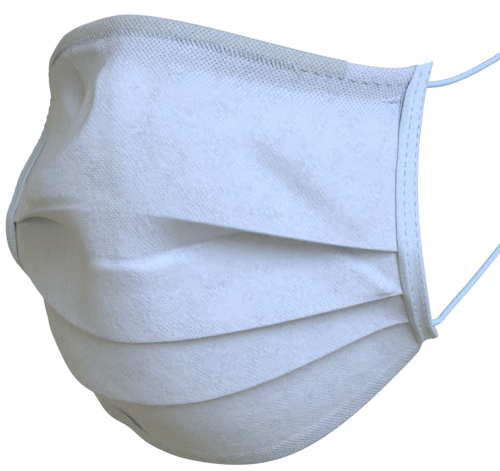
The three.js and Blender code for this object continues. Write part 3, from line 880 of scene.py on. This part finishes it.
class Nodes:
    """Short ways to add and join the nodes of one material."""

    def __init__(self, name, roughness, sheen=0.0):
        self.material = bpy.data.materials.new(name)
        self.material.use_nodes = True
        self.tree = self.material.node_tree
        self.shader = self.tree.nodes["Principled BSDF"]
        self.set(self.shader, "Roughness", roughness)
        self.set(self.shader, "Specular IOR Level", 0.25)
        if sheen:
            self.set(self.shader, "Sheen Weight", sheen)
            self.set(self.shader, "Sheen Roughness", 0.5)

    def set(self, node, key, value):
        node.inputs[key].default_value = value

    def add(self, kind, **inputs):
        node = self.tree.nodes.new(kind)
        for key, value in inputs.items():
            numbered = key[0] == "i" and key[1:].isdigit()
            socket = node.inputs[int(key[1:]) if numbered else key]
            if isinstance(value, bpy.types.NodeSocket):
                self.tree.links.new(value, socket)
            else:
                socket.default_value = value
        return node

    def math(self, operation, a, b=0.0, c=None):
        node = self.add("ShaderNodeMath", i0=a, i1=b)
        node.operation = operation
        if c is not None:
            node.inputs[2].default_value = c
        return node.outputs[0]

    def uv(self):
        """The piece's own map, in millimetres."""
        node = self.tree.nodes.new("ShaderNodeUVMap")
        node.uv_map = "cloth"
        scaled = self.add("ShaderNodeVectorMath", i0=node.outputs[0], i1=(100, 100, 100))
        scaled.operation = "MULTIPLY"
        return scaled.outputs[0]

    def stretched(self, vector, scale, turn=0.0):
        node = self.add("ShaderNodeMapping", Vector=vector)
        node.inputs["Scale"].default_value = scale
        node.inputs["Rotation"].default_value = (0, 0, math.radians(turn))
        return node.outputs[0]

    def noise(self, vector, scale, detail=2.0, distortion=0.0):
        node = self.add("ShaderNodeTexNoise", Vector=vector, Scale=scale, Detail=detail,
                        Distortion=distortion)
        return node.outputs[0]

    def ramp(self, value, low, high):
        node = self.add("ShaderNodeMapRange", Value=value)
        node.inputs["From Min"].default_value = low
        node.inputs["From Max"].default_value = high
        node.interpolation_type = "SMOOTHSTEP"
        return node.outputs[0]

    def attribute(self, name):
        node = self.tree.nodes.new("ShaderNodeAttribute")
        node.attribute_name = name
        return node.outputs["Fac"]

    def mix(self, factor, a, b):
        node = self.tree.nodes.new("ShaderNodeMix")
        node.data_type = "RGBA"
        for socket, value in ((node.inputs[0], factor), (node.inputs[6], a), (node.inputs[7], b)):
            if isinstance(value, bpy.types.NodeSocket):
                self.tree.links.new(value, socket)
            else:
                socket.default_value = value
        return node.outputs[2]

    def tinted(self, colour, tint):
        node = self.mix(1.0, colour, tint).node
        node.blend_type = "MULTIPLY"
        return node.outputs[2]

    def finish(self, colour, height, depth):
        """Joins the colour and a bump whose height of 1 is depth metres."""
        self.tree.links.new(colour, self.shader.inputs["Base Color"])
        bump = self.add("ShaderNodeBump", Height=height, Distance=depth)
        self.tree.links.new(bump.outputs[0], self.shader.inputs["Normal"])
        return self.material


def shade(colour, amount):
    return (*(c * amount for c in colour), 1.0)


def nonwoven_cloth(colour):
    """Soft bonded fibres with rows of small pressed dots."""
    n = Nodes("nonwoven_cloth", 0.92, sheen=0.2)
    uv = n.uv()
    turned = n.stretched(uv, (1.0, 1.0, 1.0), 45)
    dots = n.add("ShaderNodeTexVoronoi", Vector=turned, Scale=1.05, Randomness=0.12)
    dots.voronoi_dimensions = "2D"
    pressed = n.ramp(dots.outputs["Distance"], 0.34, 0.12)
    tufts = n.noise(uv, 0.9, 3, 1.2)
    fibres = n.noise(n.stretched(uv, (2.6, 0.7, 1.0), 35), 1.6, 3, 0.8)
    crossing = n.noise(n.stretched(uv, (2.6, 0.7, 1.0), -30), 1.5, 3, 0.8)
    clouds = n.noise(uv, 0.16, 2)
    double = n.attribute("double")
    wire = n.attribute("wire")
    rubbed = n.ramp(n.noise(uv, 0.13, 3, 0.6), 0.38, 0.62)
    kept = n.math("MAXIMUM", double, n.math("MULTIPLY_ADD", rubbed, 0.35, 0.04))
    dotted = n.math("MULTIPLY", pressed, kept)
    felt = n.math("ADD", n.math("MULTIPLY", fibres, 0.5), n.math("MULTIPLY", crossing, 0.5))
    value = n.math("MULTIPLY", n.math("ADD", felt, tufts), 0.5)
    pale = n.mix(n.ramp(value, 0.4, 0.6), shade(colour, 0.86), shade(colour, 1.06))
    cloudy = n.mix(n.ramp(clouds, 0.35, 0.65), pale, shade(colour, 1.0))
    dark = n.mix(n.math("MULTIPLY", dotted, 0.3), cloudy, shade(colour, 0.62))
    strip = n.mix(wire, dark, n.tinted(dark, (0.86, 0.83, 0.74, 1)))
    lumps = n.math("MULTIPLY", n.noise(uv, 0.42, 2, 0.5), 1.3)
    fuzz = n.math("MULTIPLY", n.math("ADD", felt, tufts), 0.7)
    height = n.math("SUBTRACT", n.math("ADD", fuzz, lumps), dotted)
    return n.finish(strip, height, 0.00022)


def binding_tape(colour):
    """The same cloth as a smoother tape, without dots."""
    n = Nodes("binding_tape", 0.9, sheen=0.2)
    uv = n.uv()
    fibres = n.noise(n.stretched(uv, (1.0, 3.0, 1.0), 20), 1.2, 3, 0.6)
    tufts = n.noise(uv, 1.6, 3, 1.0)
    value = n.math("MULTIPLY", n.math("ADD", fibres, tufts), 0.5)
    pale = n.mix(n.ramp(value, 0.36, 0.64), shade(colour, 0.86), shade(colour, 1.05))
    return n.finish(pale, value, 0.00018)


def elastic_knit(colour):
    """A fluffy cord with fine rings across it."""
    n = Nodes("elastic_knit", 0.6, sheen=0.3)
    uv = n.uv()
    ribs = n.add("ShaderNodeTexWave", Vector=n.stretched(uv, (0.02, 1.0, 1.0)), Scale=0.9,
                 Distortion=1.0)
    ribs.bands_direction = "Y"
    fluff = n.noise(uv, 2.0, 2, 0.5)
    value = n.math("ADD", n.math("MULTIPLY", ribs.outputs[1], 0.6), n.math("MULTIPLY", fluff, 0.4))
    pale = n.mix(value, shade(colour, 0.86), shade(colour, 1.06))
    return n.finish(pale, value, 0.00012)


def sewing_thread(colour):
    """Smooth thread with the twist of its plies."""
    n = Nodes("sewing_thread", 0.5, sheen=0.3)
    uv = n.uv()
    ply = n.add("ShaderNodeTexWave", Vector=n.stretched(uv, (2.0, 1.0, 1.0), 30), Scale=2.0)
    pale = n.mix(ply.outputs[1], shade(colour, 0.9), shade(colour, 1.0))
    return n.finish(pale, ply.outputs[1], 0.00006)


def single_fibre(colour):
    n = Nodes("single_fibre", 0.6, sheen=0.2)
    grain = n.noise(n.uv(), 1.5, 1)
    return n.finish(n.mix(grain, shade(colour, 0.95), shade(colour, 1.1)), grain, 0.00001)


def wire_sheath(colour):
    n = Nodes("wire_sheath", 0.42)
    place = n.tree.nodes.new("ShaderNodeTexCoord").outputs["Object"]
    grain = n.noise(n.stretched(place, (300, 300, 300)), 2.0, 3)
    pale = n.mix(grain, shade(colour, 0.9), shade(colour, 1.08))
    return n.finish(pale, grain, 0.00005)


def pale_floor(colour):
    """A bright plain ground."""
    n = Nodes("pale_floor", 0.9)
    place = n.tree.nodes.new("ShaderNodeTexCoord").outputs["Object"]
    faint = n.noise(place, 1.2, 2)
    pale = n.mix(faint, shade(colour, 0.99), shade(colour, 1.0))
    n.tree.links.new(pale, n.shader.inputs["Emission Color"])
    n.set(n.shader, "Emission Strength", 0.6)
    return n.finish(pale, faint, 0.00001)


# ---------------------------------------------------------------- settings


def colour_setting(name, description, default):
    return FloatVectorProperty(name=name, description=description, default=default,
                               subtype="COLOR", min=0, max=1)


class ClothSettings(bpy.types.PropertyGroup):
    cloth_colour: colour_setting("Cloth colour", "Colour of the non-woven cloth",
                                 (0.77, 0.80, 0.86))
    tape_colour: colour_setting("Tape colour", "Colour of the side bindings", (0.75, 0.82, 0.88))
    thread_colour: colour_setting("Thread colour", "Colour of the stitches", (0.85, 0.88, 0.92))
    elastic_colour: colour_setting("Elastic colour", "Colour of the ear loops", (0.72, 0.88, 0.96))
    wire_colour: colour_setting("Wire colour", "Colour of the sheath of the nose wire",
                                (0.72, 0.78, 0.80))
    cloth_wall: FloatProperty(name="Cloth thickness", description="Thickness of the body cloth",
                              default=THICKNESS * MM, unit="LENGTH")
    fibre_count: IntProperty(name="Loose fibres", description="Number of loose fibres on the cloth",
                             default=240, min=0)


class StageSettings(bpy.types.PropertyGroup):
    floor_height: FloatProperty(name="Floor height", description="Height of the floor",
                                default=-0.35, unit="LENGTH")
    lens: FloatProperty(name="Lens", description="Focal length of the camera in millimetres",
                        default=108.8)
    floor_colour: colour_setting("Floor colour", "Colour of the floor", (0.93, 0.91, 0.88))
    key_strength: FloatProperty(name="Key light", description="Strength of the main light",
                                default=3.2)


# ---------------------------------------------------------------- operators

# Camera and main light, in metres, millimetres of sensor and degrees. Azimuth 0 is in front of
# the mask.
CAMERA = {"place": (0.2154, -0.3335, 0.0016), "aim": (0.0224, 0.0241, -0.0557), "sensor": 36.0}
KEY = {"azimuth": 55, "elevation": 34, "width": 42, "colour": (0.46, 0.63, 1.0)}

# Colours of the surroundings, by height from 0, straight down, to 1, straight up.
LOW, BAND, HIGH = (0.20, 0.18, 0.11), (1.0, 1.0, 1.0), (0.24, 0.215, 0.125)
SURROUNDINGS = ((0.0, LOW), (0.48, LOW), (0.485, BAND), (0.55, BAND), (0.62, HIGH))


class MASK_OT_stage(bpy.types.Operator):
    """Adds the camera, the floor, the lights and the pale surroundings."""

    bl_idname = "mask.stage"
    bl_label = "Stage"

    def execute(self, context):
        settings = context.scene.mask_stage
        scene = context.scene
        scene.view_settings.view_transform = "Standard"
        camera_data = bpy.data.cameras.new("camera")
        camera_data.lens = settings.lens
        camera_data.sensor_width = CAMERA["sensor"]
        camera = bpy.data.objects.new("camera", camera_data)
        scene.collection.objects.link(camera)
        camera.location = CAMERA["place"]
        aim = Vector(CAMERA["aim"]) - camera.location
        camera.rotation_euler = aim.to_track_quat("-Z", "Y").to_euler()
        scene.camera = camera

        bm = bmesh.new()
        bmesh.ops.create_grid(bm, x_segments=1, y_segments=1, size=40)
        for vert in bm.verts:
            vert.co.z = settings.floor_height
        mesh = bpy.data.meshes.new("floor")
        bm.to_mesh(mesh)
        bm.free()
        floor = bpy.data.objects.new("floor", mesh)
        scene.collection.objects.link(floor)
        floor.visible_diffuse = False
        mesh.materials.append(pale_floor(tuple(settings.floor_colour)))
        self.surroundings(scene)
        light = bpy.data.lights.new("key", "SUN")
        light.energy = settings.key_strength
        light.angle = math.radians(KEY["width"])
        light.color = KEY["colour"]
        lamp = bpy.data.objects.new("key", light)
        a, e = math.radians(KEY["azimuth"]), math.radians(KEY["elevation"])
        towards = Vector((math.sin(a) * math.cos(e), -math.cos(a) * math.cos(e), math.sin(e)))
        lamp.rotation_euler = towards.to_track_quat("Z", "Y").to_euler()
        lamp.location = towards
        scene.collection.objects.link(lamp)
        return {"FINISHED"}

    def surroundings(self, scene):
        """A bright wall all round at eye level, dim warm air above and below it."""
        world = bpy.data.worlds.new("studio")
        world.use_nodes = True
        tree = world.node_tree
        background = tree.nodes["Background"]
        place = tree.nodes.new("ShaderNodeTexCoord")
        apart = tree.nodes.new("ShaderNodeSeparateXYZ")
        ramp = tree.nodes.new("ShaderNodeValToRGB")
        tree.links.new(place.outputs["Generated"], apart.inputs[0])
        height = tree.nodes.new("ShaderNodeMapRange")
        height.inputs["From Min"].default_value = -1.0
        tree.links.new(apart.outputs["Z"], height.inputs["Value"])
        tree.links.new(height.outputs[0], ramp.inputs[0])
        tree.links.new(ramp.outputs[0], background.inputs["Color"])
        elements = ramp.color_ramp.elements
        for at, _ in SURROUNDINGS[2:]:
            elements.new(at)
        for element, (at, colour) in zip(elements, SURROUNDINGS):
            element.position = at
            element.color = (*colour, 1)
        scene.world = world


class MASK_OT_ear_loops(bpy.types.Operator):
    """Makes the two elastic ear loops."""

    bl_idname = "mask.ear_loops"
    bl_label = "Ear loops"

    def execute(self, context):
        material = elastic_knit(tuple(context.scene.mask_cloth.elastic_colour))
        for name, side in SIDES:
            route = [(side * x, y, z) for x, y, z in EAR_LOOP_ROUTE]
            route.insert(0, sewn_end(BINDING_LINES[name], route[0]))
            route.append(sewn_end(BINDING_LINES[name], route[-1]))
            line = SmoothLine(route)
            centre = line.evenly(round(line.length / ELASTIC["step"]))
            bm = new_threads()
            add_tube(bm, centre, ELASTIC["diameter"] / 2, ELASTIC["sides"])
            obj = piece(f"ear_elastic_{name}", bm, material, (f"ear_loop_{name}",), True)
        return {"FINISHED"}


class MASK_OT_body(bpy.types.Operator):
    """Makes the pleated body cloth with its hems."""

    bl_idname = "mask.body"
    bl_label = "Body cloth"

    def execute(self, context):
        settings = context.scene.mask_cloth
        bm = bent_grid(CLOTH.points, CLOTH.across, CLOTH.down,
                       {"wire": CLOTH.wire, "double": CLOTH.double})
        material = nonwoven_cloth(tuple(settings.cloth_colour))
        obj = piece("mask_body", bm, material, ("body_panel",))
        wall(obj, settings.cloth_wall / MM)
        return {"FINISHED"}


class MASK_OT_nose_wire(bpy.types.Operator):
    """Makes the flat soft wire inside the top hem."""

    bl_idname = "mask.nose_wire"
    bl_label = "Nose wire"

    def execute(self, context):
        columns, rows = WIRE["grid"]
        across = np.linspace(-WIRE["half"], WIRE["half"], columns)
        down = np.linspace(WIRE["top"], WIRE["foot"] - 0.3, rows)
        depth = TOP_HEM["radius"] + THICKNESS / 2
        points = np.array([[CLOTH.spot(a, d, -depth) for d in down] for a in across])
        bm = bent_grid(points, *np.meshgrid(across, down, indexing="ij"))
        material = wire_sheath(tuple(context.scene.mask_cloth.wire_colour))
        obj = piece("nose_wire_strip", bm, material, ("nose_wire",))
        wall(obj, WIRE["thickness"])
        return {"FINISHED"}


class MASK_OT_bindings(bpy.types.Operator):
    """Makes the folded tapes along both sides."""

    bl_idname = "mask.bindings"
    bl_label = "Side bindings"

    def execute(self, context):
        material = binding_tape(tuple(context.scene.mask_cloth.tape_colour))
        for name, line in BINDING_LINES.items():
            around = np.linspace(0, 1, 2 * TAPE_STEPS["flat"] + TAPE_STEPS["turn"] + 1)
            foot = line.length + BINDING["below"]
            down = np.linspace(-BINDING["above"], foot, TAPE_STEPS["down"] + 1)
            points = np.array([[tape_spot(line, a, d) for d in down] for a in around])
            width = around * BINDING["unfolded"]
            bm = bent_grid(points, *np.meshgrid(width, down, indexing="ij"), outward=line.side > 0)
            obj = piece(f"binding_tape_{name}", bm, material, (f"side_binding_{name}",))
            wall(obj, BINDING["wall"])
        return {"FINISHED"}


class MASK_OT_stitches(bpy.types.Operator):
    """Sews the hem, the tapes and the ends of the ear loops."""

    bl_idname = "mask.stitches"
    bl_label = "Stitches"

    def execute(self, context):
        rng = random.Random(11)
        material = sewing_thread(tuple(context.scene.mask_cloth.thread_colour))
        bm = new_threads()
        hem_row(bm, rng)
        piece("hem_stitches", bm, material, recalculate=True)
        inner, outer = (TAPE_STITCH[k] / TAPE_FLAT * TAPE_SHARE for k in ("inner", "away"))
        for name, side in SIDES:
            line = BINDING_LINES[name]
            bm = new_threads()
            for around in (outer, 1 - outer, inner):
                tape_row(bm, line, around, rng)
            for x, y, z in (EAR_LOOP_ROUTE[0], EAR_LOOP_ROUTE[-1]):
                tack(bm, line, (side * x, y, z))
            piece(f"tape_stitches_{name}", bm, material, recalculate=True)
        return {"FINISHED"}


class MASK_OT_fibres(bpy.types.Operator):
    """Adds the loose fibres of the cloth and of the cut ends of the tapes."""

    bl_idname = "mask.fibres"
    bl_label = "Loose fibres"

    def execute(self, context):
        settings = context.scene.mask_cloth
        rng = random.Random(5)
        bm = new_threads()
        loose_fibres(bm, settings.fibre_count, rng)
        material = single_fibre(tuple(settings.cloth_colour))
        piece("cloth_fibres", bm, material, recalculate=True)
        bm = new_threads()
        for line in BINDING_LINES.values():
            frayed_ends(bm, line, rng)
        piece("tape_fibres", bm, material, recalculate=True)
        return {"FINISHED"}


OPERATORS = (MASK_OT_stage, MASK_OT_ear_loops, MASK_OT_body, MASK_OT_nose_wire, MASK_OT_bindings,
             MASK_OT_stitches, MASK_OT_fibres)


class MASK_PT_sidebar(bpy.types.Panel):
    """Lists the settings and the steps of the face mask."""

    bl_idname = "MASK_PT_sidebar"
    bl_label = "Face mask"
    bl_space_type = "VIEW_3D"
    bl_region_type = "UI"
    bl_category = "Face mask"

    def draw(self, context):
        for settings in (context.scene.mask_cloth, context.scene.mask_stage):
            for key in settings.__annotations__:
                self.layout.prop(settings, key)
        for operator in OPERATORS:
            self.layout.operator(operator.bl_idname)


CLASSES = (ClothSettings, StageSettings, *OPERATORS, MASK_PT_sidebar)


def register():
    for cls in CLASSES:
        bpy.utils.register_class(cls)
    bpy.types.Scene.mask_cloth = PointerProperty(type=ClothSettings)
    bpy.types.Scene.mask_stage = PointerProperty(type=StageSettings)


def unregister():
    del bpy.types.Scene.mask_stage
    del bpy.types.Scene.mask_cloth
    for cls in reversed(CLASSES):
        bpy.utils.unregister_class(cls)


def main():
    register()
    bpy.ops.mask.stage()
    bpy.ops.mask.ear_loops()
    bpy.ops.mask.body()
    bpy.ops.mask.nose_wire()
    bpy.ops.mask.bindings()
    bpy.ops.mask.stitches()
    bpy.ops.mask.fibres()


if __name__ == "__main__":
    main()
